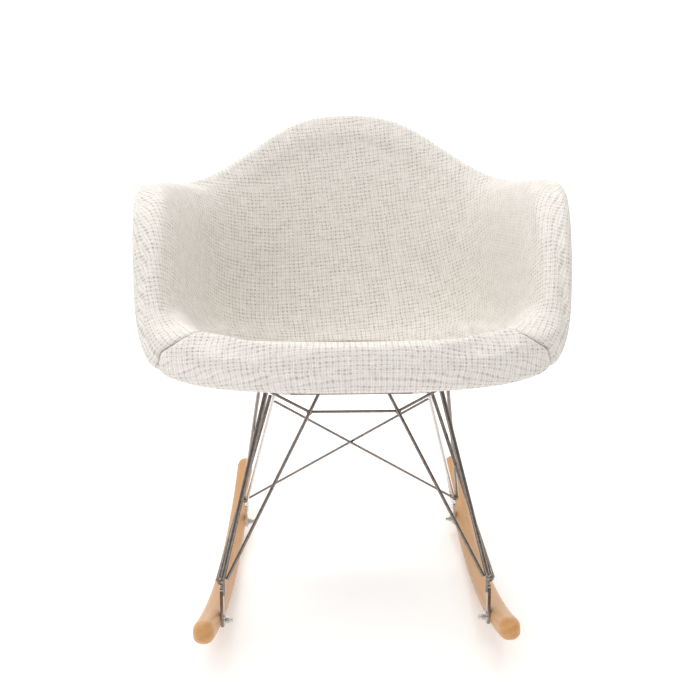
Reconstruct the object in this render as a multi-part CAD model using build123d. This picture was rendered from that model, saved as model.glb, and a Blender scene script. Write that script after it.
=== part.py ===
from build123d import *
import math
import os

# Rocking armchair: one padded and fabric-covered moulded shell on a welded wire base with two
# bent wooden rockers. Millimetres. +X is to the right as seen from the front, the front faces
# -Y, +Z is up, and the floor under the rockers' lowest line is Z = 0.

# Rockers
ROCKER_RADIUS = 1100.0
ROCKER_HALF_LENGTH = 345.0
ROCKER_HEIGHT = 29.0
ROCKER_WIDTH = 26.8
ROCKER_OFFSET = 191.0
ROCKER_ROUNDING = 10.5
TIP_ROUNDING = 9.5
INNER_FACE = ROCKER_OFFSET - ROCKER_WIDTH / 2

# Feet of the wire base: place along the rocker and height of the knee above the floor
FRONT_FOOT = (-250.0, 99.0)
REAR_FOOT = (155.0, 64.0)
PLATE_THICKNESS = 4.0
PLATE_WIDTH = 14.0
PLATE_DROP = 10.0
ROD_DROP = 20.0
BOLT_RADIUS = 3.0
BOLT_REACH = 18.0
INSERT_RADIUS = 4.5
WASHER = (7.0, 1.5)
NUT = (4.6, 5.0)
STUD_TIP = 5.0
FIT_GAP = 0.05

# Wires
LEG_RADIUS = 3.25
LEG_BEND = 9.0
DIAGONAL_RADIUS = 2.75
BRACE_RADIUS = 2.25
CROSS_RADIUS = 1.9
CROSSING_GAP = 0.7
CROSS_BEND = 10.0
RAIL_RADIUS = 2.75
WELD_RADIUS = 5.5
CROSS_WELD_RADIUS = 4.0
BRACE_CROSSING = (58.6, -203.0, 312.5)
BRACE_GAP = 0.5
BRACE_LENGTH = 1.15
FRONT_WIRE_DROP = 9.0
REAR_BRACE_DROP = 14.0
RAIL_SHORTENING = 4.0
# Clearance beside the knee and beside the other leg's top, and drop below that top
FORE_DIAGONAL = (0.4, 0.6, 6.0)
AFT_DIAGONAL = (0.6, 5.0, 3.0)
KNEE_WELD_SHIFT = 0.8 * LEG_RADIUS
TOP_WELD_SHIFT = (1.6 * LEG_RADIUS, -4.0)
BRACE_FOOT_LIFT = 2.0

# Seat mounts
FRONT_MOUNT = (98.5, -178.0)
REAR_MOUNT = (99.0, -24.0)
PAD_RADIUS = 16.0
PAD_THICKNESS = 9.0
PAD_GAP = 0.3
TAB = (38.0, 34.0, 3.0)
TAB_CORNER = 7.0
LEG_SHIFT = (13.0, 11.0)
LEG_RETURN = 24.0
SCREW_RADIUS = 2.5
SCREW_HEAD = (4.6, 2.6)
SCREW_WASHER = (5.6, 1.2)
SCREW_REACH = 9.0

# Layers of the padded shell, as distances from its middle surface (+ is the sitter's side)
SHELL_LAYER = (-2.0, 2.0)
FOAM_LAYER = (2.3, 11.6)
INNER_COVER_LAYER = (13.0, 15.0)
OUTER_PADDING_LAYER = (-6.2, -2.3)
OUTER_COVER_LAYER = (-8.2, -6.5)
SEAM_GAP = 0.004
SEAM_START = math.radians(52)
SEAM_TURN = math.radians(86)
SEAM_LEAN = math.radians(40)
SEAT_REACH = 0.50
RIM = 0.90
CORNER_ROUNDING = 0.495
EDGE_ROLL_RADIUS = 11.4
EDGE_ROLL_REACH = 14.4
EDGE_ROLL_POINTS = 22
GRID = 30

# Shape of the shell: the middle of the sloping seat, then twelve sections fanned from the middle
# of the front edge round one arm to the middle of the back, each with bend, turn and rim points.
SEAT_CENTRE = (0.0, -20.0, 312.0)
SEAT_TILT = 0.25
SEAT_DISH = 0.28
SECTIONS = (
    ((0, -232, 392), (0, -326, 431), (0, -316, 355)),
    ((118, -224, 392), (142, -318, 430), (144, -308, 356)),
    ((190, -180, 395), (228, -278, 432), (240, -270, 368)),
    ((222, -105, 392), (250, -228, 458), (266, -228, 406)),
    ((228, -35, 388), (247, -182, 532), (276, -182, 502)),
    ((228, 20, 386), (246, -112, 600), (291, -122, 580)),
    ((220, 75, 388), (248, -5, 604), (302, -10, 582)),
    ((198, 130, 392), (240, 98, 586), (280, 98, 574)),
    ((160, 170, 396), (212, 176, 566), (238, 174, 577)),
    ((108, 190, 398), (158, 220, 591), (173, 238, 624)),
    ((52, 200, 400), (86, 256, 650), (93, 280, 685)),
    ((0, 203, 400), (0, 264, 662), (0, 290, 695)),
)


def blend(a, b, share):
    return tuple(p + (q - p) * share for p, q in zip(a, b))


def on_seat(x, y, towards=0.0, height=0.0):
    """Point of the seat's tilted plane, raised part of the way to a height."""
    z = SEAT_CENTRE[2] - SEAT_TILT * (y - SEAT_CENTRE[1])
    return (x, y, z + towards * (height - z))


def section_points(bend, turn, rim):
    """Eight control points from the seat's middle to the rim."""
    flat = on_seat(*blend(SEAT_CENTRE, bend, 0.42)[:2])
    rise = on_seat(*blend(SEAT_CENTRE, bend, 0.80)[:2], SEAT_DISH, bend[2])
    wall = [blend(bend, turn, 0.5), turn, blend(turn, rim, 0.6), rim]
    return [SEAT_CENTRE, flat, rise, bend] + wall


def control_net():
    half = [section_points(*section) for section in SECTIONS]
    mirrored = [[(-x, y, z) for x, y, z in row] for row in half[-2:0:-1]]
    return half + mirrored


NET = control_net()
RING = len(NET)
SPANS = len(NET[0]) - 3


def knot(i):
    return min(max(i - 3, 0), SPANS)


def radial_weights(r):
    """Clamped cubic B-spline weights of the section points at r, 0 at the centre to 1 at the rim."""
    t = r * SPANS
    count = SPANS + 3
    span = min(int(t), SPANS - 1) + 3
    weights = [1.0 if i == span else 0.0 for i in range(count + 3)]
    for degree in range(1, 4):
        for i in range(count + 3 - degree):
            left = knot(i + degree) - knot(i)
            right = knot(i + degree + 1) - knot(i + 1)
            first = (t - knot(i)) / left * weights[i] if left else 0.0
            second = (knot(i + degree + 1) - t) / right * weights[i + 1] if right else 0.0
            weights[i] = first + second
    return weights[:count]


def ring_weights(angle):
    """Closed cubic B-spline weights of the four sections nearest an angle."""
    place = (angle / (2 * math.pi)) % 1.0 * RING
    j = int(place)
    t = place - j
    weights = ((1 - t) ** 3, 3 * t**3 - 6 * t**2 + 4, -3 * t**3 + 3 * t**2 + 3 * t + 1, t**3)
    return [((j - 1 + k) % RING, w / 6) for k, w in enumerate(weights)]


def middle_surface(across, along):
    """Point of the shell's middle surface; (across, along) is a unit disc, front at -1."""
    radial = radial_weights(math.hypot(across, along))
    point = [0.0, 0.0, 0.0]
    for j, ring in ring_weights(math.atan2(across, -along)):
        for control, weight in zip(NET[j], radial):
            for axis in range(3):
                point[axis] += ring * weight * control[axis]
    return Vector(*point)


def offset_point(across, along, distance):
    """Point at a distance from the middle surface, along its normal to the sitter's side."""
    step = 0.004
    side = middle_surface(across + step, along) - middle_surface(across - step, along)
    back = middle_surface(across, along + step) - middle_surface(across, along - step)
    return middle_surface(across, along) + side.cross(back).normalized() * distance


def disc_place(a, b):
    """Square (a, b) mapped on to the unit disc, its corners only just rounded off."""
    across = a * math.sqrt(1 - CORNER_ROUNDING * b * b)
    along = b * math.sqrt(1 - CORNER_ROUNDING * a * a)
    return across, along


def shell_place(a, b):
    across, along = disc_place(a, b)
    return across * RIM, along * RIM


def seam_radius(angle):
    """Disc radius of the seam round the seat and up the ends of the front roll."""
    turn = abs((angle + math.pi) % (2 * math.pi) - math.pi)
    share = min(max((SEAM_TURN - turn) / SEAM_LEAN, 0.0), 1.0)
    return SEAT_REACH + (RIM - SEAT_REACH) * share


def seat_place(a, b):
    across, along = disc_place(a, b)
    return across * (SEAT_REACH - SEAM_GAP), along * (SEAT_REACH - SEAM_GAP)


def front_place(a, b):
    """a runs across the front roll from seam to seam, b from the seat to the rim."""
    share = (b + 1) / 2
    radius = SEAT_REACH + SEAM_GAP + share * (RIM - SEAM_GAP - SEAT_REACH)
    angle = a * (SEAM_TURN - share * SEAM_LEAN - SEAM_GAP / radius)
    return radius * math.sin(angle), -radius * math.cos(angle)


def back_place(a, b):
    """a runs round the seam from one front corner to the other, b from the seam to the rim."""
    angle = math.pi - a * (math.pi - SEAM_START)
    inner = seam_radius(angle) + SEAM_GAP
    radius = inner + (b + 1) / 2 * (RIM - inner)
    return radius * math.sin(angle), -radius * math.cos(angle)


def layer_face(place, distance, columns, rows):
    points = []
    for i in range(columns + 1):
        a = 2 * i / columns - 1
        line = [offset_point(*place(a, 2 * j / rows - 1), distance) for j in range(rows + 1)]
        points.append(line)
    return Face.make_surface_from_array_of_points(points, tol=0.02)


def matching_edge(edge, others):
    middle = edge.position_at(0.5)
    return min(others, key=lambda other: (other.position_at(0.5) - middle).length)


def layer_solid(place, layer, columns=GRID, rows=GRID):
    """Closed solid between two offset surfaces, with ruled walls round its border."""
    low = layer_face(place, layer[0], columns, rows)
    high = layer_face(place, layer[1], columns, rows)
    walls = [
        Face.make_surface_from_curves(edge, matching_edge(edge, high.edges()))
        for edge in low.edges()
    ]
    return Solid(Shell([low, high] + walls))


def edge_roll(side):
    """Rounded padding along one half of the rim, from the front middle to the back middle."""
    middle = (INNER_COVER_LAYER[1] + OUTER_COVER_LAYER[0]) / 2
    points = []
    for i in range(EDGE_ROLL_POINTS + 1):
        angle = math.pi * i / EDGE_ROLL_POINTS
        across, along = math.sin(angle), -math.cos(angle)
        rim = offset_point(RIM * across, RIM * along, middle)
        inside = offset_point((RIM - 0.02) * across, (RIM - 0.02) * along, middle)
        place = rim + (rim - inside).normalized() * EDGE_ROLL_REACH
        points.append(Vector(side * place.X, place.Y, place.Z))
    ends = (Vector(side, 0, 0), Vector(-side, 0, 0))
    path = Edge.make_spline(points, tangents=ends)
    start = Plane(origin=path @ 0, z_dir=path % 0)
    return sweep(start * Circle(EDGE_ROLL_RADIUS), path=path)


def place_above(x, y, distance):
    """Disc place whose offset surface lies over the plan position (x, y)."""
    across, along = x / 400, y / 400
    step = 0.004
    for _ in range(12):
        here = offset_point(across, along, distance)
        side = (offset_point(across + step, along, distance) - here) / step
        back = (offset_point(across, along + step, distance) - here) / step
        miss_x, miss_y = x - here.X, y - here.Y
        scale = side.X * back.Y - side.Y * back.X
        across += (miss_x * back.Y - miss_y * back.X) / scale
        along += (miss_y * side.X - miss_x * side.Y) / scale
    return across, along


def mount_plane(mount):
    """Plane just clear of the underside at a mount: local X outwards, local Z to the sitter."""
    distance = OUTER_COVER_LAYER[0]
    place = place_above(*mount, distance)
    foot = offset_point(*place, distance)
    up = (offset_point(*place, distance + 1) - foot).normalized()
    outwards = Vector(0, 1, 0).cross(up).normalized()
    return Plane(origin=foot - up * PAD_GAP, x_dir=outwards, z_dir=up)


def hung_disc(radius, thickness, top, hole=0.0):
    """Flat round plate whose upper face is at a height."""
    sheet = Circle(radius) - Circle(hole) if hole else Circle(radius)
    return Pos(0, 0, top - thickness) * extrude(sheet, thickness)


def mount_pad():
    drill = SCREW_REACH - TAB[2] - SCREW_WASHER[1] + 0.5
    hole = hung_disc(SCREW_RADIUS + FIT_GAP, drill, drill - PAD_THICKNESS)
    return hung_disc(PAD_RADIUS, PAD_THICKNESS, 0) - hole


def mount_tab():
    sheet = RectangleRounded(TAB[0], TAB[1], TAB_CORNER) - Circle(SCREW_RADIUS + FIT_GAP)
    return Pos(0, 0, -PAD_THICKNESS - TAB[2]) * extrude(sheet, TAB[2])


def mount_washer():
    top = -PAD_THICKNESS - TAB[2]
    return hung_disc(SCREW_WASHER[0], SCREW_WASHER[1], top, SCREW_RADIUS + FIT_GAP)


def mount_screw():
    seat = -PAD_THICKNESS - TAB[2] - SCREW_WASHER[1]
    head = hung_disc(SCREW_HEAD[0], SCREW_HEAD[1], seat)
    head = fillet(head.edges().group_by(Axis.Z)[0], 1.2)
    return head + Pos(0, 0, seat) * extrude(Circle(SCREW_RADIUS), SCREW_REACH)


def rod(points, radius, bend=0.0):
    path = FilletPolyline(*points, radius=bend) if bend else Line(*points)
    return sweep(Plane(origin=path @ 0, z_dir=path % 0) * Circle(radius), path=path)


def arc_height(y, lift=0.0):
    """Height on an arc that runs parallel to the rocker's underside."""
    return ROCKER_RADIUS - math.sqrt((ROCKER_RADIUS - lift) ** 2 - y * y)


def bolt_height(foot):
    return arc_height(foot[0], ROCKER_HEIGHT / 2)


def across_rocker(foot, radius, start, length):
    """Cylinder lying along X at a foot's bolt."""
    return Pos(start, foot[0], bolt_height(foot)) * extrude(Plane.YZ * Circle(radius), length)


def knee(foot):
    return Vector(INNER_FACE - LEG_RADIUS, foot[0], foot[1])


def leg_turn(plane, sign, inwards=0.0):
    """Where a leg bends under its mount, or a point further in along its top run."""
    drop = PAD_THICKNESS + TAB[2] + LEG_RADIUS
    return plane.from_local_coords(Vector(LEG_SHIFT[0] - inwards, sign * LEG_SHIFT[1], -drop))


def foot_plate(foot):
    low = bolt_height(foot) - PLATE_DROP
    high = foot[1] - PLATE_DROP
    outline = RectangleRounded(PLATE_WIDTH, high - low, PLATE_WIDTH / 2 - 0.1)
    flat = extrude(Plane.YZ * outline, PLATE_THICKNESS)
    return Pos(INNER_FACE - PLATE_THICKNESS, foot[0], (low + high) / 2) * flat


def leg(foot, plane, sign):
    """Bent rod from the foot to its top run under the mount, with the foot plate welded on."""
    start = knee(foot) - Vector(0, 0, ROD_DROP)
    turn = leg_turn(plane, sign)
    bent = rod([start, knee(foot), turn, leg_turn(plane, sign, LEG_RETURN)], LEG_RADIUS, LEG_BEND)
    hole = across_rocker(foot, BOLT_RADIUS + FIT_GAP, INNER_FACE - 20, 30)
    return bent + foot_plate(foot) - hole


def rocker():
    """Bent runner with a rounded section and rounded tips."""
    outer = Circle(ROCKER_RADIUS)
    inner = Circle(ROCKER_RADIUS - ROCKER_HEIGHT)
    window = Pos(0, -ROCKER_RADIUS) * Rectangle(2 * ROCKER_HALF_LENGTH, ROCKER_RADIUS)
    blank = extrude(Plane.YZ * ((outer - inner) & window), ROCKER_WIDTH)
    blank = Pos(INNER_FACE, 0, ROCKER_RADIUS) * blank
    long_edges = blank.edges().filter_by(GeomType.CIRCLE)
    blank = fillet(long_edges, ROCKER_ROUNDING)
    tips = blank.faces().filter_by(Axis.Y)
    blank = fillet(tips.edges(), TIP_ROUNDING)
    for foot in (FRONT_FOOT, REAR_FOOT):
        blank -= across_rocker(foot, INSERT_RADIUS + FIT_GAP, INNER_FACE - 1, BOLT_REACH + 3)
    return blank


def insert(foot):
    sleeve = across_rocker(foot, INSERT_RADIUS, INNER_FACE + 0.5, BOLT_REACH)
    return sleeve - across_rocker(foot, BOLT_RADIUS + FIT_GAP, INNER_FACE, BOLT_REACH + 4)


def washer(foot):
    start = INNER_FACE - PLATE_THICKNESS - WASHER[1]
    ring = across_rocker(foot, WASHER[0], start, WASHER[1])
    return ring - across_rocker(foot, BOLT_RADIUS + FIT_GAP, start - 1, 4)


def nut(foot):
    start = INNER_FACE - PLATE_THICKNESS - WASHER[1] - NUT[1]
    outline = Plane.YZ * RegularPolygon(NUT[0], 6)
    block = Pos(start, foot[0], bolt_height(foot)) * extrude(outline, NUT[1])
    return block - across_rocker(foot, BOLT_RADIUS + FIT_GAP, start - 1, NUT[1] + 2)


def stud(foot):
    start = INNER_FACE - PLATE_THICKNESS - WASHER[1] - NUT[1] - STUD_TIP
    return across_rocker(foot, BOLT_RADIUS, start, INNER_FACE + BOLT_REACH - start)


def mirrored(shape):
    return mirror(shape, about=Plane.YZ)


def trimmed(shape, others):
    """Wire coped against the wires it is welded to; keeps its main length."""
    for other in others:
        shape = shape - other
    return shape.solids().sort_by(SortBy.VOLUME)[-1]


def both(shapes):
    return list(shapes) + [mirrored(s) for s in shapes]


def group(shapes):
    solids = [solid for shape in shapes for solid in shape.solids()]
    return Compound(children=solids)


def top_rail(plane, sign):
    """Straight wire between the top runs of a pair of legs."""
    end = leg_turn(plane, sign, LEG_RETURN - RAIL_SHORTENING)
    return rod([(-end.X, end.Y, end.Z), (end.X, end.Y, end.Z)], RAIL_RADIUS)


def side_diagonal(foot, top, low_gap, high_gap, drop):
    """Wire on the outer side of the legs, from one foot's knee to the other leg's top."""
    low = knee(foot) + Vector(LEG_RADIUS + DIAGONAL_RADIUS + low_gap, 0, 0)
    high = top + Vector(LEG_RADIUS + DIAGONAL_RADIUS + high_gap, 0, -drop)
    return rod([low, high], DIAGONAL_RADIUS)


def rear_brace(rear_top, side):
    """One wire of the crossed pair, from a rear leg's top to the other rear foot."""
    shift = Vector(0, side * (CROSS_RADIUS + CROSSING_GAP), 0)
    high = Vector(side * rear_top.X, rear_top.Y, rear_top.Z - REAR_BRACE_DROP) + shift
    low = knee(REAR_FOOT)
    return rod([high, Vector(-side * low.X, low.Y, low.Z) + shift], CROSS_RADIUS)


def front_cross_wire(front_top):
    """Dropped wire between the front legs' tops."""
    x, y, z = BRACE_CROSSING
    y += BRACE_RADIUS + CROSS_RADIUS + BRACE_GAP
    end = (front_top.X, y, front_top.Z - FRONT_WIRE_DROP)
    points = [(-end[0], end[1], end[2]), (-x, y, z), (x, y, z), end]
    return rod(points, CROSS_RADIUS, CROSS_BEND)


def front_brace():
    low = knee(FRONT_FOOT) - Vector(LEG_RADIUS + BRACE_RADIUS + BRACE_GAP, 0, -BRACE_FOOT_LIFT)
    crossing = Vector(*BRACE_CROSSING)
    return rod([low, low + (crossing - low) * BRACE_LENGTH], BRACE_RADIUS)


def wires(front, rear):
    """Named wires of the base, right-hand side first where there are two."""
    front_top, rear_top = leg_turn(front, -1), leg_turn(rear, 1)
    front_leg, rear_leg = leg(FRONT_FOOT, front, -1), leg(REAR_FOOT, rear, 1)
    legs = [front_leg, rear_leg]
    left_legs = [mirrored(shape) for shape in legs]
    fore = side_diagonal(FRONT_FOOT, rear_top, *FORE_DIAGONAL)
    aft = side_diagonal(REAR_FOOT, front_top, *AFT_DIAGONAL)
    front_rail = trimmed(top_rail(front, -1), [front_leg, left_legs[0]])
    crossed = [trimmed(rear_brace(rear_top, side), [rear_leg, left_legs[1]]) for side in (1, -1)]
    pairs = {
        "front_leg": front_leg,
        "rear_leg": rear_leg,
        "side_diagonal_fore": fore,
        "side_diagonal_aft": aft,
        "front_brace": trimmed(front_brace(), [front_rail]),
    }
    found = {}
    for name, shape in pairs.items():
        found[name + "_right"] = shape
        found[name + "_left"] = mirrored(shape)
    found["front_cross_wire"] = trimmed(front_cross_wire(front_top), [front_leg, left_legs[0]])
    found["rear_cross_wire_front"] = crossed[1]
    found["rear_cross_wire_rear"] = crossed[0]
    found["front_top_rail"] = front_rail
    found["rear_top_rail"] = trimmed(top_rail(rear, 1), [rear_leg, left_legs[1]])
    return found


def near(first, second):
    """Whether the boxes round two shapes meet."""
    a, b = first.bounding_box(), second.bounding_box()
    axes = ((a.min.X, a.max.X, b.min.X, b.max.X),
            (a.min.Y, a.max.Y, b.min.Y, b.max.Y),
            (a.min.Z, a.max.Z, b.min.Z, b.max.Z))
    return all(low < other_high and other_low < high for low, high, other_low, other_high in axes)


def weld(place, radius, base):
    """Bead at a joint, cut back to the wires it joins."""
    bead = Pos(*place) * Sphere(radius)
    return trimmed(bead, [shape for shape in base.values() if near(bead, shape)])


def welds(front, rear, base):
    """Beads on the right-hand side: knees, diagonal's top end and brace crossing."""
    feet = [knee(foot) + Vector(KNEE_WELD_SHIFT, 0, 0) for foot in (FRONT_FOOT, REAR_FOOT)]
    top = leg_turn(front, -1) + Vector(TOP_WELD_SHIFT[0], 0, TOP_WELD_SHIFT[1])
    crossing = Vector(*BRACE_CROSSING) + Vector(0, BRACE_RADIUS, 0)
    return {
        "knee_welds": [weld(place, WELD_RADIUS, base) for place in feet],
        "diagonal_welds": [weld(top, WELD_RADIUS, base)],
        "brace_welds": [weld(crossing, CROSS_WELD_RADIUS, base)],
    }


def upholstery():
    return {
        "seat_shell": layer_solid(shell_place, SHELL_LAYER),
        "inner_foam": layer_solid(shell_place, FOAM_LAYER),
        "outer_padding": layer_solid(shell_place, OUTER_PADDING_LAYER),
        "outer_cover": layer_solid(shell_place, OUTER_COVER_LAYER),
        "seat_cover": layer_solid(seat_place, INNER_COVER_LAYER),
        "front_roll_cover": layer_solid(front_place, INNER_COVER_LAYER),
        "back_and_arms_cover": layer_solid(back_place, INNER_COVER_LAYER, 2 * GRID, GRID),
        "edge_roll_right": edge_roll(1),
        "edge_roll_left": edge_roll(-1),
    }


def mount_hardware(front, rear):
    makers = {
        "mount_pads": mount_pad,
        "frame_tabs": mount_tab,
        "mount_washers": mount_washer,
        "mount_screws": mount_screw,
    }
    return {
        name: both([plane.location * make() for plane in (front, rear)])
        for name, make in makers.items()
    }


def foot_hardware():
    makers = {
        "rocker_inserts": insert,
        "rocker_washers": washer,
        "rocker_nuts": nut,
        "rocker_studs": stud,
    }
    return {
        name: both([make(foot) for foot in (FRONT_FOOT, REAR_FOOT)])
        for name, make in makers.items()
    }


def main():
    os.makedirs("parts", exist_ok=True)
    front, rear = mount_plane(FRONT_MOUNT), mount_plane(REAR_MOUNT)
    base = wires(front, rear)
    runner = rocker()
    pieces = {**upholstery(), **base, "rocker_right": runner, "rocker_left": mirrored(runner)}
    groups = {**mount_hardware(front, rear), **foot_hardware()}
    for name, beads in welds(front, rear, base).items():
        groups[name] = both(beads)
    for name, shapes in groups.items():
        pieces[name] = group(shapes)
    for name, shape in pieces.items():
        export_step(shape, f"parts/{name}.step")


main()
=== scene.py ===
"""An upholstered bucket chair on a wire base with two wooden rockers, dressed over its CAD model."""

import math

import bpy
import numpy as np
from mathutils import Matrix, Vector


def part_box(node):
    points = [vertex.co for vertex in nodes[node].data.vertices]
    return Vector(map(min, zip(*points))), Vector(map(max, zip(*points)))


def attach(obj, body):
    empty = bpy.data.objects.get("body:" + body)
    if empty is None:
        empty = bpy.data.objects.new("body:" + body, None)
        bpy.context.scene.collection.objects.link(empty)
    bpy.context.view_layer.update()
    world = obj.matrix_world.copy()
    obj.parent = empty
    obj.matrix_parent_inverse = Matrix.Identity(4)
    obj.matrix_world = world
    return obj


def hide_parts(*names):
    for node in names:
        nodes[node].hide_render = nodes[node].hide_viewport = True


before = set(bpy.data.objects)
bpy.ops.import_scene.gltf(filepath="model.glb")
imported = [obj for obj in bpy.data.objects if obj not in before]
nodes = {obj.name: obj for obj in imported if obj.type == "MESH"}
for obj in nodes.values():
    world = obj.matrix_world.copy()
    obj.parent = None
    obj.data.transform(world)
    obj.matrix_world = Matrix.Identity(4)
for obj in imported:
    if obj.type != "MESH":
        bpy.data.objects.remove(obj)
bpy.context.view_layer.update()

MM = 0.001
SIDES = ("right", "left")

# The bucket's sections from the middle of the front round the right arm to the middle of the back.
# Each one is where the seat bends up, where the wall turns over, and the rim, in millimetres.
SECTIONS = (
    ((0, -232, 392), (0, -326, 431), (0, -316, 355)),
    ((118, -224, 392), (142, -318, 430), (144, -308, 356)),
    ((190, -180, 395), (228, -278, 432), (240, -270, 368)),
    ((222, -105, 392), (250, -228, 458), (266, -228, 406)),
    ((228, -35, 388), (247, -182, 532), (276, -182, 502)),
    ((228, 20, 386), (246, -112, 600), (291, -122, 580)),
    ((220, 75, 388), (248, -5, 604), (302, -10, 582)),
    ((198, 130, 392), (240, 98, 586), (280, 98, 574)),
    ((160, 170, 396), (212, 176, 566), (238, 174, 577)),
    ((108, 190, 398), (158, 220, 591), (173, 238, 624)),
    ((52, 200, 400), (86, 256, 650), (93, 280, 685)),
    ((0, 203, 400), (0, 264, 662), (0, 290, 695)),
)
SEAT_CENTRE = np.array((0.0, -20.0, 312.0))
SEAT_TILT = 0.25
SEAT_DISH = 0.28

# The rim's disc radius, and the padded roll round it in millimetres
RIM = 0.90
ROLL_MIDDLE = 3.4
ROLL_REACH = 14.4
ROLL_RADIUS = 11.6
INNER_FACE = ROLL_MIDDLE + ROLL_RADIUS
OUTER_FACE = ROLL_MIDDLE - ROLL_RADIUS

# The seam between the seat and the back-and-arms panel, as (angle from the front in degrees, disc radius),
# from the back of the seat round to the front edge, where it shows at the corner.
SEAM = (
    (140, 0.23), (122, 0.235), (104, 0.255), (86, 0.285), (70, 0.32), (57, 0.365),
    (46, 0.43), (37, 0.53), (31, 0.63), (28, 0.71), (28.5, 0.78), (31.5, 0.84), (35.5, 0.90),
)
SEAM_SAMPLES = 2000
NECK = 0.80
SEAT_RADIUS = 0.23
BACK_ARC = 140

# Panels and their sewn edges, in millimetres
SEAM_DEPTH = 2.6
SEAM_WIDTH = 5.0
SEAM_OPENING = 0.45
SWELL = 3.2
SWELL_MARGIN = 12.0
SWELL_LIMIT = 1.15
FREE_MARGIN = 0.5
PANEL_THICKNESS = 7.5
COVER_THICKNESS = 5.8
RIM_MARGIN = 0.015
RIM_FADE = 0.10
STITCH_PITCH = 10.0
STITCH_LENGTH = 6.0
STITCH_RADIUS = 0.75
STITCH_RINGS = 7
STITCH_SIDES = 6

# Laying a panel flat: the radius its disc is drawn at, the coarse grid and the rounds of relaxing
PATTERN_RADIUS = 380.0
PATTERN_GRID = (17, 45)
PATTERN_ROUNDS = 60

# The weave's columns and rows, in metres
COLUMN = 0.0072
ROW = 0.0058

# Cloth simulation
CLOTH_STEPS = 20
CLOTH_PRESSURE = 4.0

# Runners, in metres: the ends draw in over TIP_LENGTH, by TIP_DEPTH at the very end
ROCKER_RADIUS = 1.1
RUNNER_HEIGHT = 0.029
RUNNER_ROUNDING = 0.0115
RUNNER_STATIONS = 90
CORNER_STEPS = 7
TIP_LENGTH = 0.021
TIP_DEPTH = 0.0112

# Camera and studio
CAMERA_PLACE = (-0.026, -1.561, 0.685)
CAMERA_TURN = {"yaw": 0.9, "pitch": 12.0, "roll": -0.34}
CAMERA_LENS = 55.03
WORLD_STRENGTH = 0.87
WORLD_FRONT = (0.44, 0.43, 0.42, 1)
WORLD_BACK = (1.0, 0.995, 0.985, 1)


# ---------------------------------------------------------------- camera, floor and light

def add_camera():
    yaw, pitch, roll = (math.radians(CAMERA_TURN[name]) for name in ("yaw", "pitch", "roll"))
    ahead = Vector((math.sin(yaw), math.cos(yaw), 0))
    across = Vector((math.cos(yaw), -math.sin(yaw), 0))
    up = Vector((0, 0, 1))
    forward = ahead * math.cos(pitch) - up * math.sin(pitch)
    lifted = up * math.cos(pitch) + ahead * math.sin(pitch)
    right = across * math.cos(roll) + lifted * math.sin(roll)
    top = lifted * math.cos(roll) - across * math.sin(roll)
    camera = bpy.data.objects.new("camera", bpy.data.cameras.new("camera"))
    camera.data.sensor_width = 36
    camera.data.lens = CAMERA_LENS
    camera.data.clip_end = 60
    place = Matrix((right, top, -forward)).transposed().to_4x4()
    place.translation = CAMERA_PLACE
    camera.matrix_world = place
    bpy.context.scene.collection.objects.link(camera)
    bpy.context.scene.camera = camera


def add_light(name, place, target, size, power):
    light = bpy.data.lights.new(name, "AREA")
    light.shape = "RECTANGLE"
    light.size, light.size_y = size
    light.energy = power
    lamp = bpy.data.objects.new(name, light)
    lamp.location = place
    lamp.rotation_euler = (Vector(target) - Vector(place)).to_track_quat("-Z", "Y").to_euler()
    bpy.context.scene.collection.objects.link(lamp)


def add_world():
    """Pale all round, and a little dimmer in front of the chair."""
    world = bpy.data.worlds.new("studio")
    world.use_nodes = True
    bpy.context.scene.world = world
    tree = world.node_tree
    place = tree.nodes.new("ShaderNodeTexCoord")
    split = tree.nodes.new("ShaderNodeSeparateXYZ")
    ramp = tree.nodes.new("ShaderNodeValToRGB")
    ramp.color_ramp.elements[0].position = 0.12
    ramp.color_ramp.elements[0].color = WORLD_FRONT
    ramp.color_ramp.elements[1].position = 0.55
    ramp.color_ramp.elements[1].color = WORLD_BACK
    shift = tree.nodes.new("ShaderNodeMapRange")
    shift.inputs["From Min"].default_value = -1
    background = tree.nodes["Background"]
    background.inputs["Strength"].default_value = WORLD_STRENGTH
    tree.links.new(place.outputs["Generated"], split.inputs[0])
    tree.links.new(split.outputs["Y"], shift.inputs["Value"])
    tree.links.new(shift.outputs[0], ramp.inputs["Fac"])
    tree.links.new(ramp.outputs["Color"], background.inputs["Color"])


def add_backdrop():
    """A floor that curves up into a wall well behind the chair."""
    near, far, height, bend, half = -5.0, 3.6, 5.0, 1.4, 6.0
    profile = [(near, 0.0), (0.0, 0.0), (far - bend, 0.0)]
    for step in range(1, 13):
        a = math.radians(90 * step / 12)
        profile.append((far - bend + bend * math.sin(a), bend - bend * math.cos(a)))
    profile.append((far, height))
    points = [(x, y, z) for y, z in profile for x in (-half, half)]
    faces = [(2 * i, 2 * i + 1, 2 * i + 3, 2 * i + 2) for i in range(len(profile) - 1)]
    floor = mesh_object("floor", points, faces)
    floor.data.materials.append(floor_material())


# ---------------------------------------------------------------- small helpers

def mesh_object(name, points, faces):
    mesh = bpy.data.meshes.new(name)
    mesh.from_pydata([tuple(p) for p in points], [], [tuple(f) for f in faces])
    mesh.shade_smooth()
    piece = bpy.data.objects.new(name, mesh)
    bpy.context.scene.collection.objects.link(piece)
    return piece


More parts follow.
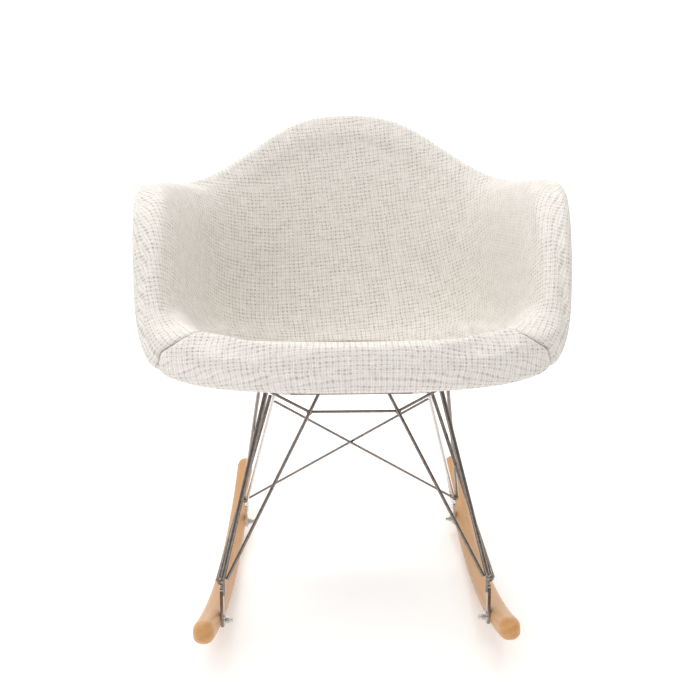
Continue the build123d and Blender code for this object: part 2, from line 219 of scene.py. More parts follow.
class Shader:
    """A material's node tree with short calls for what the materials here need."""

    def __init__(self, name):
        self.material = bpy.data.materials.new(name)
        self.material.use_nodes = True
        self.tree = self.material.node_tree
        self.surface = self.tree.nodes["Principled BSDF"]

    def put(self, socket, value):
        if isinstance(value, bpy.types.NodeSocket):
            self.tree.links.new(value, socket)
        else:
            socket.default_value = value

    def set(self, **values):
        for name, value in values.items():
            self.put(self.surface.inputs[name.replace("_", " ")], value)

    def maths(self, operation, *values):
        node = self.tree.nodes.new("ShaderNodeMath")
        node.operation = operation
        for socket, value in zip(node.inputs, values):
            self.put(socket, value)
        return node.outputs[0]

    def total(self, *values):
        result = values[0]
        for value in values[1:]:
            result = self.maths("ADD", result, value)
        return result

    def product(self, *values):
        result = values[0]
        for value in values[1:]:
            result = self.maths("MULTIPLY", result, value)
        return result

    def noise(self, vector, scale, detail=2.0, roughness=0.5):
        node = self.tree.nodes.new("ShaderNodeTexNoise")
        self.put(node.inputs["Vector"], vector)
        node.inputs["Scale"].default_value = scale
        node.inputs["Detail"].default_value = detail
        node.inputs["Roughness"].default_value = roughness
        return node.outputs["Fac"]

    def ramp(self, fac, *stops):
        node = self.tree.nodes.new("ShaderNodeValToRGB")
        marks = node.color_ramp.elements
        while len(marks) < len(stops):
            marks.new(0.5)
        for mark, (position, colour) in zip(marks, stops):
            mark.position = position
            mark.color = (*colour, 1)
        self.put(node.inputs["Fac"], fac)
        return node.outputs["Color"]

    def span(self, value, low, high, out_low=0.0, out_high=1.0):
        node = self.tree.nodes.new("ShaderNodeMapRange")
        for socket, number in zip(node.inputs, (value, low, high, out_low, out_high)):
            self.put(socket, number)
        return node.outputs[0]

    def stretch(self, vector, scale):
        node = self.tree.nodes.new("ShaderNodeVectorMath")
        node.operation = "MULTIPLY"
        self.put(node.inputs[0], vector)
        node.inputs[1].default_value = scale
        return node.outputs[0]

    def combine(self, x, y, z):
        node = self.tree.nodes.new("ShaderNodeCombineXYZ")
        for socket, value in zip(node.inputs, (x, y, z)):
            self.put(socket, value)
        return node.outputs[0]

    def separate(self, vector):
        node = self.tree.nodes.new("ShaderNodeSeparateXYZ")
        self.put(node.inputs[0], vector)
        return node.outputs

    def place(self, kind="Object"):
        return self.tree.nodes.new("ShaderNodeTexCoord").outputs[kind]

    def bump(self, height, distance, strength):
        node = self.tree.nodes.new("ShaderNodeBump")
        node.inputs["Strength"].default_value = strength
        node.inputs["Distance"].default_value = distance
        self.put(node.inputs["Height"], height)
        return node.outputs["Normal"]


# ---------------------------------------------------------------- materials

def floor_material():
    shader = Shader("pale_floor")
    mottle = shader.noise(shader.place(), 1.5)
    grey = shader.ramp(mottle, (0.3, (0.93, 0.93, 0.93)), (0.7, (0.95, 0.95, 0.95)))
    shader.set(Base_Color=grey, Roughness=0.9, Emission_Color=(1, 1, 1, 1), Emission_Strength=0.2)
    return shader.material


def weave_lattice(shader, place):
    """Phases of the cloth's columns and rows, each wandering a little from straight."""
    u, v, _ = shader.separate(place)
    wander = shader.span(shader.noise(place, 60, 1), 0.25, 0.75, -0.13, 0.13)
    drift = shader.span(shader.noise(shader.stretch(place, (1, 1.7, 1)), 60, 1), 0.25, 0.75, -0.15, 0.15)
    column = shader.product(shader.total(shader.maths("DIVIDE", u, COLUMN), wander), math.pi)
    row = shader.product(shader.total(shader.maths("DIVIDE", v, ROW), drift), math.pi)
    return column, row


def weave_gaps(shader, place, between, apart):
    """Small shaded gaps where four yarns meet, and fainter ones inside a doubled yarn."""
    patches = shader.noise(shader.stretch(place, (1, 1.7, 1)), 42, 3)
    loose = shader.span(patches, 0.36, 0.58, 0.2, 1.1)
    gap = shader.product(shader.span(between, 0.6, 0.95), shader.span(apart, 0.6, 1.0))
    split = shader.product(shader.span(between, 0.35, 0.0), shader.span(apart, 0.55, 1.0, 0.0, 0.35))
    return shader.product(shader.total(gap, split), loose)


def weave_light(shader, place, column, row, between, apart):
    """Lighter and darker lines along the yarns: their crowns, slubs and plies."""
    yarn = shader.span(shader.noise(shader.stretch(place, (380, 60, 1)), 1, 2), 0.3, 0.7, -0.08, 0.08)
    slub = shader.span(shader.noise(shader.stretch(place, (60, 420, 1)), 1, 2), 0.3, 0.7, -0.09, 0.09)
    flank = shader.maths("ABSOLUTE", shader.span(between, 0.1, 0.9, -1.0, 1.0))
    line = shader.maths("SUBTRACT", 1.0, flank)
    ridge = shader.maths("SUBTRACT", 1.0, shader.span(apart, 0.0, 0.5))
    lit = shader.total(shader.product(line, 0.11), shader.product(ridge, 0.05))
    plies = shader.product(shader.maths("COSINE", shader.product(column, 4.0)), -0.055)
    strands = shader.product(shader.maths("COSINE", shader.product(row, 4.0)), -0.065)
    return shader.total(shader.total(lit, shader.total(yarn, slub)), shader.total(plies, strands))


def fabric_material():
    """Cream cloth of thick slubby yarns: a lattice of raised warp and weft with small shaded gaps."""
    shader = Shader("cream_weave")
    place = shader.place("UV")
    column, row = weave_lattice(shader, place)
    across, along = shader.maths("SINE", column), shader.maths("SINE", row)
    between, apart = shader.maths("ABSOLUTE", across), shader.maths("ABSOLUTE", along)
    gap = weave_gaps(shader, place, between, apart)
    light = weave_light(shader, place, column, row, between, apart)
    shade = shader.maths("SUBTRACT", shader.total(0.66, light), shader.product(gap, 0.32))
    colour = shader.ramp(
        shade,
        (0.0, (0.41, 0.37, 0.33)),
        (0.35, (0.59, 0.55, 0.505)),
        (0.66, (0.745, 0.71, 0.66)),
        (0.95, (0.905, 0.88, 0.845)),
    )
    crossing = shader.product(across, along)
    height = shader.maths("SUBTRACT", shader.total(shader.product(crossing, 0.1), light), gap)
    shader.set(
        Base_Color=colour,
        Roughness=0.92,
        Normal=shader.bump(height, 0.0011, 0.75),
        Specular_IOR_Level=0.25,
        Sheen_Weight=0.18,
        Sheen_Roughness=0.5,
        Sheen_Tint=(1.0, 0.98, 0.94, 1),
    )
    return shader.material


def thread_material():
    shader = Shader("seam_thread")
    place = shader.place()
    twist = shader.noise(place, 900, 2)
    colour = shader.ramp(twist, (0.3, (0.50, 0.45, 0.39)), (0.7, (0.72, 0.67, 0.60)))
    shader.set(Base_Color=colour, Roughness=0.8, Normal=shader.bump(twist, 0.0004, 0.6))
    return shader.material


def wood_material():
    """Pale lacquered beech whose grain follows the rocker's curve."""
    shader = Shader("beech")
    x, y, z = shader.separate(shader.place())
    low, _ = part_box("rocker_right")
    depth = shader.maths("SUBTRACT", ROCKER_RADIUS + low.z, z)
    squares = shader.total(shader.maths("POWER", y, 2.0), shader.maths("POWER", depth, 2.0))
    ring = shader.maths("SQRT", squares)
    along = shader.product(shader.maths("ARCTAN2", y, depth), ROCKER_RADIUS)
    grain_place = shader.combine(x, along, ring)
    waver = shader.span(shader.noise(shader.stretch(grain_place, (6, 2.2, 6)), 1.0, 2), 0.3, 0.7, -1.0, 1.0)
    rings = shader.total(shader.product(ring, 620), shader.product(x, 260), shader.product(waver, 5.0))
    bands = shader.span(shader.maths("SINE", rings), -1, 1, 0.47, 0.59)
    fibre = shader.noise(shader.stretch(grain_place, (900, 26, 900)), 1.0, 3, 0.6)
    flecks = shader.noise(shader.stretch(grain_place, (700, 110, 700)), 1.0, 1)
    grain = shader.total(bands, shader.span(fibre, 0.3, 0.7, -0.16, 0.16))
    tone = shader.maths("SUBTRACT", grain, shader.span(flecks, 0.66, 0.74, 0.0, 0.14))
    colour = shader.ramp(
        tone,
        (0.1, (0.36, 0.155, 0.05)),
        (0.45, (0.555, 0.28, 0.10)),
        (0.8, (0.67, 0.385, 0.165)),
    )
    shader.set(
        Base_Color=colour,
        Roughness=shader.span(fibre, 0.3, 0.7, 0.34, 0.48),
        Normal=shader.bump(fibre, 0.0003, 0.35),
        Specular_IOR_Level=0.35,
        Coat_Weight=0.1,
        Coat_Roughness=0.22,
    )
    return shader.material


def metal_material(name, bright, dark, low, high, scale=220):
    """Polished metal with faint rubbing marks; for the chrome, the bright and dark colours given also carry
    painted reflections.
    """
    shader = Shader(name)
    place = shader.place()
    smear = shader.noise(place, scale, 3, 0.6)
    fine = shader.noise(place, scale * 9, 1)
    colour = shader.ramp(smear, (0.3, dark), (0.7, bright))
    rough = shader.total(shader.span(smear, 0.3, 0.7, low, high), shader.span(fine, 0.3, 0.7, 0, 0.05))
    shader.set(Base_Color=colour, Metallic=1.0, Roughness=rough, Normal=shader.bump(fine, 0.00005, 0.3))
    return shader.material


def rubber_material():
    shader = Shader("mount_rubber")
    grain = shader.noise(shader.place(), 700, 2)
    colour = shader.ramp(grain, (0.3, (0.02, 0.02, 0.021)), (0.7, (0.05, 0.05, 0.052)))
    shader.set(Base_Color=colour, Roughness=0.62, Normal=shader.bump(grain, 0.0004, 0.4))
    return shader.material


def plastic_material():
    shader = Shader("shell_plastic")
    grain = shader.noise(shader.place(), 500, 2)
    colour = shader.ramp(grain, (0.3, (0.60, 0.60, 0.58)), (0.7, (0.66, 0.66, 0.64)))
    shader.set(Base_Color=colour, Roughness=0.5, Normal=shader.bump(grain, 0.0003, 0.4))
    return shader.material


# ---------------------------------------------------------------- the bucket's surface

def ring_weights(angle, count):
    """Weights of a closed uniform cubic spline with count sections round the bucket."""
    spot = (angle / (2 * np.pi)) % 1 * count
    first = np.floor(spot).astype(int)
    t = spot - first
    cubic = ((1 - t) ** 3, 3 * t**3 - 6 * t**2 + 4, -3 * t**3 + 3 * t**2 + 3 * t + 1, t**3)
    weights = np.zeros(angle.shape + (count,))
    for k, value in enumerate(cubic):
        np.put_along_axis(weights, ((first - 1 + k) % count)[..., None], value[..., None] / 6, axis=-1)
    return weights


def line_weights(spot, count):
    """Weights of a cubic spline with count control points that starts and ends on the outer two."""
    knots = np.r_[[0.0] * 3, np.linspace(0, 1, count - 2), [1.0] * 3]
    s = np.clip(spot, 0, 1 - 1e-9)[..., None]
    weights = ((s >= knots[:-1]) & (s < knots[1:])).astype(float)
    for degree in (1, 2, 3):
        width = knots[degree:] - knots[:-degree]
        share = np.where(width > 0, 1 / np.where(width > 0, width, 1), 0)
        rise = (s - knots[: len(width)]) * share
        fall = (knots[degree:] - s) * share
        weights = rise[..., :-1] * weights[..., :-1] + fall[..., 1:] * weights[..., 1:]
    return weights


def control_rows():
    rows = []
    centre = SEAT_CENTRE
    for section in SECTIONS:
        bend, turn, rim = (np.array(point, float) for point in section)
        flat = centre + (bend - centre) * 0.42
        rise = centre + (bend - centre) * 0.80
        flat[2] = centre[2] - SEAT_TILT * (flat[1] - centre[1])
        floor = centre[2] - SEAT_TILT * (rise[1] - centre[1])
        level = centre[2] - SEAT_TILT * (bend[1] - centre[1])
        rise[2] = floor + SEAT_DISH * (bend[2] - level)
        rows.append([centre, flat, rise, bend, (bend + turn) / 2, turn, turn + (rim - turn) * 0.6, rim])
    half = np.array(rows)
    return np.concatenate([half, half[1:-1][::-1] * (-1, 1, 1)])


NET = control_rows()


def shell(x, y):
    """Middle surface of the bucket at disc coordinates, in millimetres."""
    ring = ring_weights(np.arctan2(x, -y), NET.shape[0])
    line = line_weights(np.hypot(x, y), NET.shape[1])
    return np.einsum("...n,...m,nmk->...k", ring, line, NET)


def unit(vectors):
    return vectors / np.linalg.norm(vectors, axis=-1, keepdims=True)


def shell_with_normal(x, y, step=0.004):
    across = shell(x + step, y) - shell(x - step, y)
    along = shell(x, y + step) - shell(x, y - step)
    return shell(x, y), unit(np.cross(across, along))


def rim_frame(angle):
    """At the rim: a point on the middle surface, its outward direction and its normal."""
    x, y = np.sin(angle), -np.cos(angle)
    point, normal = shell_with_normal(RIM * x, RIM * y)
    behind, normal_behind = shell_with_normal((RIM - 0.02) * x, (RIM - 0.02) * y)
    out = unit(point + ROLL_MIDDLE * normal - behind - ROLL_MIDDLE * normal_behind)
    level = unit(normal - out * np.sum(normal * out, axis=-1, keepdims=True))
    return point, out, normal, level


def seam_line(spot):
    """The seam's disc coordinates from the back of the seat, 0, to the front edge, 1, on the right."""
    angle, radius = np.radians([a for a, _ in SEAM]), np.array([r for _, r in SEAM])
    control = np.stack([radius * np.sin(angle), -radius * np.cos(angle)], axis=-1)
    return line_weights(np.asarray(spot, float), len(SEAM)) @ control


def arc(radius, start, end, count):
    angle = np.radians(np.linspace(start, end, count))
    return np.stack([radius * np.sin(angle), -radius * np.cos(angle)], axis=-1)


def even(path, count):
    """The same path as count points evenly spaced along it."""
    travelled = np.r_[0, np.cumsum(np.linalg.norm(np.diff(path, axis=0), axis=1))]
    marks = np.linspace(0, travelled[-1], count)
    return np.stack([np.interp(marks, travelled, path[:, k]) for k in range(path.shape[1])], axis=-1)


def patch(first, last, left, right):
    """Disc coordinates of a grid between four edges; left and right run from first to last."""
    v = np.linspace(0, 1, len(left))[:, None, None]
    u = np.linspace(0, 1, len(first))[None, :, None]
    ruled = (1 - v) * first[None] + v * last[None]
    sides = (1 - u) * left[:, None] + u * right[:, None]
    corners = (1 - v) * ((1 - u) * first[0] + u * first[-1]) + v * ((1 - u) * last[0] + u * last[-1])
    return ruled + sides - corners


MIRROR = np.array((-1.0, 1.0))


def seat_layout(rows=58, columns=65):
    """The seat panel: from the back of the seat forwards over the front roll."""
    side = even(seam_line(np.linspace(0, 1, 900)), rows)
    back = arc(SEAT_RADIUS, -BACK_ARC, BACK_ARC - 360, columns)
    front_angle = SEAM[-1][0]
    return patch(back, arc(RIM, -front_angle, front_angle, columns), side * MIRROR, side)


def wall_layout(rows=40, columns=181):
    """The back-and-arms panel: from the seat's seam up to the rim, from one front corner to the other."""
    whole = seam_line(np.linspace(0, 1, SEAM_SAMPLES))
    neck = int(NECK * SEAM_SAMPLES)
    corner = even(whole[neck:], rows)
    low = whole[: neck + 1][::-1]
    bottom = np.concatenate([low, arc(SEAT_RADIUS, BACK_ARC, 360 - BACK_ARC, 400), low[::-1] * MIRROR])
    front_angle = SEAM[-1][0]
    top = arc(RIM, front_angle, 360 - front_angle, columns)
    return patch(even(bottom, columns), top, corner, corner * MIRROR)


# ---------------------------------------------------------------- upholstery

def inner_skin(layout):
    """Points and normals of a panel on the sitter's side that turns over the rim to its underside."""
    points, normals = shell_with_normal(layout[..., 0], layout[..., 1])
    points = points + INNER_FACE * normals
    edge = layout[-1]
    base, out, normal, level = rim_frame(np.arctan2(edge[:, 0], -edge[:, 1]))
    rows, faces = [], []
    for share in (0.5, 1.0):
        rows.append(base + INNER_FACE * normal + out * ROLL_REACH * share)
        faces.append(normal)
    centre = base + ROLL_MIDDLE * normal + out * ROLL_REACH
    for turn in np.radians(np.arange(75, -91, -15)):
        spoke = math.cos(turn) * out + math.sin(turn) * level
        rows.append(centre + ROLL_RADIUS * spoke)
        faces.append(spoke)
    return np.concatenate([points, rows]), np.concatenate([normals, faces]), patterned(layout)


def outer_skin(layout):
    """Points and normals of a panel on the outside, from the middle out to the rim's underside."""
    points, normals = shell_with_normal(layout[..., 0], layout[..., 1])
    points = points + OUTER_FACE * normals
    edge = layout[-1]
    base, out, normal, level = rim_frame(np.arctan2(edge[:, 0], -edge[:, 1]))
    centre = base + ROLL_MIDDLE * normal + out * ROLL_REACH
    last = centre - ROLL_RADIUS * level
    middle = (points[-1] + last) / 2
    grid = np.concatenate([points, [middle, last]])
    places = patterned(layout)[: len(grid)]
    return grid[:, ::-1], -np.concatenate([normals, [normal, level]])[:, ::-1], places[:, ::-1]


def distance_to_border(grid):
    """For each point, roughly how far the nearest edge of the panel is."""
    steps_down = np.linalg.norm(np.diff(grid, axis=0), axis=2)
    steps_over = np.linalg.norm(np.diff(grid, axis=1), axis=2)
    down = np.r_[np.zeros((1, grid.shape[1])), np.cumsum(steps_down, axis=0)]
    over = np.c_[np.zeros(grid.shape[0]), np.cumsum(steps_over, axis=1)]
    return np.minimum(np.minimum(down, down[-1] - down), np.minimum(over, over[:, -1:] - over))


def opened(grid):
    """The same panel drawn in a little at its edges, which leaves the seams' dark lines between panels."""
    grid = grid.copy()
    grid[0] += unit(grid[1] - grid[0]) * SEAM_OPENING
    grid[-1] += unit(grid[-2] - grid[-1]) * SEAM_OPENING
    grid[:, 0] += unit(grid[:, 1] - grid[:, 0]) * SEAM_OPENING
    grid[:, -1] += unit(grid[:, -2] - grid[:, -1]) * SEAM_OPENING
    return grid


def grid_faces(rows, columns, start=0, flip=False):
    spot = np.arange(rows * columns).reshape(rows, columns) + start
    quads = np.stack([spot[:-1, :-1], spot[:-1, 1:], spot[1:, 1:], spot[1:, :-1]], axis=-1).reshape(-1, 4)
    return quads[:, ::-1] if flip else quads


def border_loop(rows, columns):
    spot = np.arange(rows * columns).reshape(rows, columns)
    return np.r_[spot[0, :-1], spot[:-1, -1], spot[-1, :0:-1], spot[:0:-1, 0]]


def patterned(places):
    """Disc coordinates of a skin's rows, carried on past the rim as if the cloth lay flat."""
    edge = places[-1]
    beyond = np.r_[0.5, 1.0] * ROLL_REACH
    beyond = np.r_[beyond, ROLL_REACH + ROLL_RADIUS * np.radians(np.arange(15, 181, 15))]
    more = edge[None] * (1 + beyond[:, None, None] / PATTERN_RADIUS)
    return np.concatenate([places, more])


def triangles(rows, columns):
    quads = grid_faces(rows, columns)
    return np.concatenate([quads[:, (0, 1, 2)], quads[:, (0, 2, 3)]])


def coarse(grid):
    """Every few rows and columns of a panel, enough to lay it flat by."""
    sizes = zip(grid.shape, PATTERN_GRID)
    return [np.unique(np.linspace(0, n - 1, k).round().astype(int)) for n, k in sizes]


def laid_out(solid, flat, corners):
    """Each triangle's own corners in its own plane, turned the same way up as the flat pattern."""
    a, b, c = (solid[corners[:, k]] for k in range(3))
    across = unit(b - a)
    up = unit(np.cross(np.cross(b - a, c - a), across))
    local = np.zeros((len(corners), 3, 2))
    local[:, 1, 0] = np.sum((b - a) * across, -1)
    local[:, 2, 0] = np.sum((c - a) * across, -1)
    local[:, 2, 1] = np.sum((c - a) * up, -1)
    first, second, third = (flat[corners[:, k]] for k in range(3))
    local[..., 1] *= np.sign(np.sign(np.cross(second - first, third - first)).sum())
    return local


def triangle_edges(local, corners):
    """The three edges of every triangle: their ends, their vectors at rest and their cotangent weights."""
    edges = []
    for k in range(3):
        i, j, m = k, (k + 1) % 3, (k + 2) % 3
        one, two = local[:, i] - local[:, m], local[:, j] - local[:, m]
        weight = np.abs(np.sum(one * two, -1) / (np.abs(np.cross(one, two)) + 1e-12)) / 2 + 0.02
        edges.append((corners[:, i], corners[:, j], local[:, i] - local[:, j], weight))
    return edges


def pull_matrix(edges, count):
    pull = np.zeros((count, count))
    for start, end, _, weight in edges:
        np.add.at(pull, (start, start), weight)
        np.add.at(pull, (end, end), weight)
        np.add.at(pull, (start, end), -weight)
        np.add.at(pull, (end, start), -weight)
    pull[0, 0] += 1.0
    return pull


def best_turns(edges, flat, count):
    """Cosine and sine of the turn that fits each triangle's rest shape to where it lies now."""
    dot, turn = np.zeros(count), np.zeros(count)
    for start, end, rest, weight in edges:
        now = flat[start] - flat[end]
        dot += weight * np.sum(rest * now, -1)
        turn += weight * np.cross(rest, now)
    size = np.hypot(dot, turn) + 1e-12
    return dot / size, turn / size


def relaxed(flat, edges, triangle_count):
    """The flat pattern with its triangles as nearly their true size as they can all be."""
    solve = np.linalg.inv(pull_matrix(edges, len(flat)))
    anchor = flat[0].copy()
    for _ in range(PATTERN_ROUNDS):
        cosine, sine = best_turns(edges, flat, triangle_count)
        wanted = np.zeros(flat.shape)
        for start, end, rest, weight in edges:
            turned_x = cosine * rest[:, 0] - sine * rest[:, 1]
            turned_y = sine * rest[:, 0] + cosine * rest[:, 1]
            turned = np.stack([turned_x, turned_y], -1)
            np.add.at(wanted, start, weight[:, None] * turned)
            np.add.at(wanted, end, -weight[:, None] * turned)
        wanted[0] += anchor
        flat = solve @ wanted
    return flat


def spread(flat, picked, shape):
    """The coarse pattern filled in for every row and column of the panel."""
    rows, columns = (np.arange(n) for n in shape)
    wide = np.stack([[np.interp(columns, picked[1], line[:, k]) for line in flat] for k in (0, 1)], -1)
    tall = [[np.interp(rows, picked[0], line) for line in wide[..., k].T] for k in (0, 1)]
    return np.stack([np.array(part).T for part in tall], -1)


def flatten(grid, places):
    """Lays a panel flat like the cloth it was cut from, in metres, with as little stretch as it can."""
    picked = coarse(grid)
    solid = grid[np.ix_(*picked)] * MM
    rows, columns = solid.shape[:2]
    solid, flat = solid.reshape(-1, 3), places[np.ix_(*picked)].reshape(-1, 2) * PATTERN_RADIUS * MM
    corners = triangles(rows, columns)
    edges = triangle_edges(laid_out(solid, flat, corners), corners)
    flat = relaxed(flat, edges, len(corners)).reshape(rows, columns, 2)
    return spread(flat, picked, grid.shape[:2])


def inside_rim(places):
    """1 on the broad part of a panel, fading to 0 where the cloth turns over the rim."""
    share = np.clip((RIM - RIM_MARGIN - np.linalg.norm(places, axis=-1)) / RIM_FADE, 0, 1)
    return share * share * (3 - 2 * share)


def closed_solid(name, face, back):
    """A solid between two grids of the same size."""
    rows, columns = face.shape[:2]
    size = rows * columns
    loop = border_loop(rows, columns)
    ahead = np.roll(loop, -1)
    walls = np.stack([loop, loop + size, ahead + size, ahead], axis=-1)
    faces = np.concatenate([grid_faces(rows, columns), grid_faces(rows, columns, size, True), walls])
    points = np.concatenate([face.reshape(-1, 3), back.reshape(-1, 3)]) * MM
    return mesh_object(name, points, faces)


def map_weave(piece, flat):
    """Gives both faces of a panel the flat pattern as their UV map."""
    both_faces = np.tile(flat.reshape(-1, 2), (2, 1))
    corners = np.zeros(len(piece.data.loops), int)
    piece.data.loops.foreach_get("vertex_index", corners)
    layer = piece.data.uv_layers.new(name="weave")
    layer.data.foreach_set("uv", both_faces[corners].ravel())


def panel(name, skin, thickness, swell):
    """A padded panel that dips at its edges, the points of it that are free, and how far each may move."""
    grid, normals, places = skin
    grid = opened(grid)
    away = distance_to_border(grid)
    dip = SEAM_DEPTH * np.exp(-((away / SEAM_WIDTH) ** 1.3))
    room = swell * (1 - np.exp(-away / SWELL_MARGIN)) * inside_rim(places)
    piece = closed_solid(name, grid - normals * (dip + room)[..., None], grid - normals * thickness)
    map_weave(piece, flatten(grid, places))
    free = np.r_[(away > FREE_MARGIN).ravel(), np.zeros(away.size, bool)]
    reach = np.r_[(room * SWELL_LIMIT + FREE_MARGIN).ravel(), np.zeros(away.size)]
    return piece, free, reach * MM


def add_cloth(piece):
    """Cloth under pressure from inside, without gravity."""
    cloth = piece.modifiers.new("cloth", "CLOTH")
    rules = cloth.settings
    rules.quality = 6
    rules.mass = 0.3
    rules.tension_stiffness = 12
    rules.compression_stiffness = 12
    rules.shear_stiffness = 6
    rules.bending_stiffness = 0.8
    rules.shrink_min = -0.015
    rules.use_pressure = True
    rules.uniform_pressure_force = CLOTH_PRESSURE
    rules.vertex_group_mass = "held"
    rules.effector_weights.gravity = 0
    cloth.collision_settings.use_collision = False
    return cloth


def coordinates(mesh):
    found = np.zeros(len(mesh.vertices) * 3)
    mesh.vertices.foreach_get("co", found)
    return found.reshape(-1, 3)


def inflate(piece, free, reach):
    """Swells the cloth from inside, held at its edges and back, and lets each point move only so far."""
    held = piece.vertex_groups.new(name="held")
    held.add([int(i) for i in np.flatnonzero(~free)], 1.0, "REPLACE")
    cloth = add_cloth(piece)
    for step in range(1, CLOTH_STEPS + 1):
        bpy.context.scene.frame_set(step)
    before = coordinates(piece.data)
    after = coordinates(piece.evaluated_get(bpy.context.evaluated_depsgraph_get()).data)
    piece.modifiers.remove(cloth)
    piece.vertex_groups.clear()
    bpy.context.scene.frame_set(1)
    move = after - before
    length = np.linalg.norm(move, axis=1, keepdims=True) + 1e-12
    limit = reach[:, None] + 1e-9
    move *= limit * np.tanh(length / limit) / length
    piece.data.vertices.foreach_set("co", (before + move).ravel())
    piece.data.update()


def upholster(name, skin, replaced, cloth, thickness, swell):
    """One sewn panel: swelled on the sitter's side, a taut cover that keeps its place on the outside."""
    piece, free, reach = panel(name, skin, thickness, swell)
    if swell:
        inflate(piece, free, reach)
    smooth = piece.modifiers.new("smooth", "SUBSURF")
    smooth.render_levels = 1
    smooth.levels = 1
    piece.data.materials.append(cloth)
    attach(piece, "root")
    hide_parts(*replaced)


def stitch(middle, across, along, out):
    """One short slanted stitch over the seam: points of a thin tube that bows out of the cloth."""
    rings = []
    lean = unit(across + 0.35 * along)
    side = unit(np.cross(out, lean))
    for share in np.linspace(-1, 1, STITCH_RINGS):
        centre = middle + lean * share * STITCH_LENGTH / 2 + out * (0.9 - 1.7 * share**2)
        size = STITCH_RADIUS * (1 - 0.55 * abs(share) ** 3)
        turn = np.linspace(0, 2 * np.pi, STITCH_SIDES + 1)[:-1, None]
        rings.append(centre + size * (np.cos(turn) * side + np.sin(turn) * out))
    return np.concatenate(rings)


def tube_faces(rings, around, start):
    faces = []
    for i in range(rings - 1):
        for j in range(around):
            k = (j + 1) % around
            a, b = start + i * around, start + (i + 1) * around
            faces.append((a + j, a + k, b + k, b + j))
    faces.append(tuple(start + j for j in reversed(range(around))))
    faces.append(tuple(start + (rings - 1) * around + j for j in range(around)))
    return faces


def sew_edge(cloth):
    """The hand-sewn seam along the underside of the rim, a stitch every centimetre."""
    angle = np.linspace(0, 2 * np.pi, 2881)
    base, out, normal, level = rim_frame(angle)
    drop = ROLL_RADIUS - SEAM_DEPTH * 0.35
    line = base + ROLL_MIDDLE * normal + out * ROLL_REACH - drop * level
    travelled = np.r_[0, np.cumsum(np.linalg.norm(np.diff(line, axis=0), axis=1))]
    count = round(travelled[-1] / STITCH_PITCH)
    points, faces = [], []
    for mark in np.arange(count) * travelled[-1] / count:
        i = min(int(np.searchsorted(travelled, mark)), len(line) - 2)
        along = unit(line[i + 1] - line[i])
        faces += tube_faces(STITCH_RINGS, STITCH_SIDES, STITCH_RINGS * STITCH_SIDES * len(points))
        points.append(stitch(line[i], out[i], along, -level[i]))
    piece = mesh_object("edge_stitching", np.concatenate(points) * MM, faces)
    piece.data.materials.append(cloth)
    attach(piece, "root")


def build_upholstery():
    cloth = fabric_material()
    seat, wall = seat_layout(), wall_layout()
    seat_nodes = ("seat_cover", "front_roll_cover", "inner_foam")
    wall_nodes = ("back_and_arms_cover", "edge_roll_right", "edge_roll_left")
    upholster("seat_and_front_panel", inner_skin(seat), seat_nodes, cloth, PANEL_THICKNESS, SWELL)
    upholster("back_and_arms_panel", inner_skin(wall), wall_nodes, cloth, PANEL_THICKNESS, SWELL)
    upholster("underside_panel", outer_skin(seat), ("outer_cover",), cloth, COVER_THICKNESS, 0)
    upholster("outside_wall_panel", outer_skin(wall), ("outer_padding",), cloth, COVER_THICKNESS, 0)
    sew_edge(thread_material())


# ---------------------------------------------------------------- finishes of the CAD parts

def dress(material, *names):
    for name in names:
        slots = nodes[name].material_slots
        for slot in slots:
            slot.material = material
        if not slots:
            nodes[name].data.materials.append(material)


def both(name):
    return [f"{name}_{side}" for side in SIDES]


def tip_inset(travelled, length):
    """How far a runner's section draws in near its ends, which are rounded over like a thumb."""
    share = max(1 - min(travelled, length - travelled) / TIP_LENGTH, 0.0)
    return TIP_DEPTH * (1 - math.sqrt(max(1 - share**2, 0.0)))


def runner_section(half_width, half_height, corner):
    """Points round a rectangle with rounded corners."""
    points = []
    for k, (a, b) in enumerate(((1, 1), (-1, 1), (-1, -1), (1, -1))):
        for step in range(CORNER_STEPS):
            turn = math.radians(90 * (k + step / (CORNER_STEPS - 1)))
            x = a * (half_width - corner) + corner * math.cos(turn)
            points.append((x, b * (half_height - corner) + corner * math.sin(turn)))
    return points


def runner_stations(length):
    """Distances along a runner, closer together round its tips."""
    tip = [TIP_LENGTH * (1 - math.cos(math.radians(a))) for a in range(0, 91, 6)]
    straight = np.linspace(TIP_LENGTH, length - TIP_LENGTH, RUNNER_STATIONS)[1:-1]
    return [*tip, *straight, *(length - t for t in tip[::-1])]


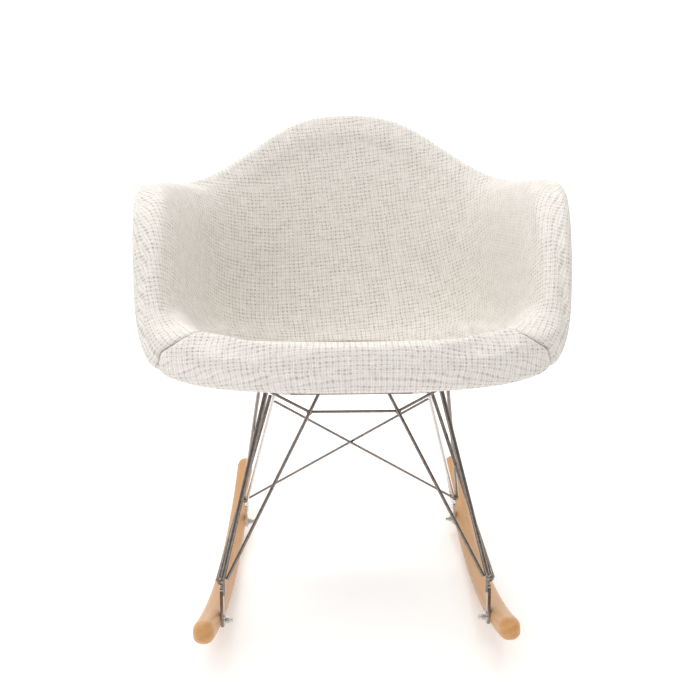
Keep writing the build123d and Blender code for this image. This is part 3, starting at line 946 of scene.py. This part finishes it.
def runner(side, wood):
    """A bent wooden runner over the CAD one, with its tips rounded over."""
    name = f"rocker_{side}"
    low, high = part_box(name)
    middle, half_width, half_height = (low.x + high.x) / 2, (high.x - low.x) / 2, RUNNER_HEIGHT / 2
    radius = ROCKER_RADIUS - half_height
    end = math.asin(high.y / radius)
    length = 2 * end * radius
    stations = runner_stations(length)
    points = []
    for travelled in stations:
        inset = tip_inset(travelled, length)
        across, tall = half_width - inset, half_height - inset
        corner = min(RUNNER_ROUNDING - inset * 0.5, 0.98 * across, 0.98 * tall)
        angle = travelled / radius - end
        for x, up in runner_section(across, tall, corner):
            reach = radius - up
            height = ROCKER_RADIUS + low.z - reach * math.cos(angle)
            points.append((middle + x, reach * math.sin(angle), height))
    piece = mesh_object(f"{name}_runner", points, tube_faces(len(stations), 4 * CORNER_STEPS, 0))
    piece.data.materials.append(wood)
    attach(piece, "root")
    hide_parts(name)


def dress_cad():
    # Dark base colour for the wires: painted dark reflection of the studio in front, with faint rubbing
    # marks.
    chrome = metal_material("chrome_wire", (0.30, 0.265, 0.24), (0.17, 0.145, 0.13), 0.06, 0.18)
    # A lighter copy of the same chrome for the rear legs: painted pale reflection of the backdrop.
    bright = metal_material("rear_chrome_painted_backdrop_reflection", (0.80, 0.78, 0.76), (0.68, 0.655, 0.63), 0.12, 0.26)
    plated = metal_material("plated_steel", (0.72, 0.71, 0.69), (0.50, 0.48, 0.46), 0.2, 0.36, 400)
    brass = metal_material("insert_brass", (0.80, 0.62, 0.30), (0.62, 0.45, 0.20), 0.25, 0.4, 500)
    wires = both("front_leg") + both("rear_leg") + both("side_diagonal_fore") + both("side_diagonal_aft")
    wires += both("front_brace") + ["front_cross_wire", "rear_cross_wire_front", "rear_cross_wire_rear"]
    wires += ["front_top_rail", "rear_top_rail", "knee_welds", "diagonal_welds", "brace_welds"]
    # The wires get the chrome whose dark colour is painted reflection.
    dress(chrome, *wires)
    # The rear legs are redressed in the chrome with painted pale reflection.
    dress(bright, *both("rear_leg"))
    dress(plated, "frame_tabs", "mount_washers", "mount_screws")
    dress(plated, "rocker_washers", "rocker_nuts", "rocker_studs")
    dress(brass, "rocker_inserts")
    dress(rubber_material(), "mount_pads")
    dress(plastic_material(), "seat_shell")
    wood = wood_material()
    for side in SIDES:
        runner(side, wood)


add_camera()
add_world()
add_backdrop()
add_light("overhead", place=(-0.35, -0.6, 2.6), target=(0, 0, 0.3), size=(3.0, 2.4), power=35)
add_light("side_key", place=(-1.9, -2.0, 1.9), target=(0, 0.1, 0.5), size=(1.6, 1.4), power=11)
add_light("wall_wash", place=(0.0, 1.6, 3.2), target=(0, 3.4, 1.0), size=(3.0, 1.0), power=50)
bpy.context.scene.view_settings.view_transform = "Standard"
build_upholstery()
dress_cad()
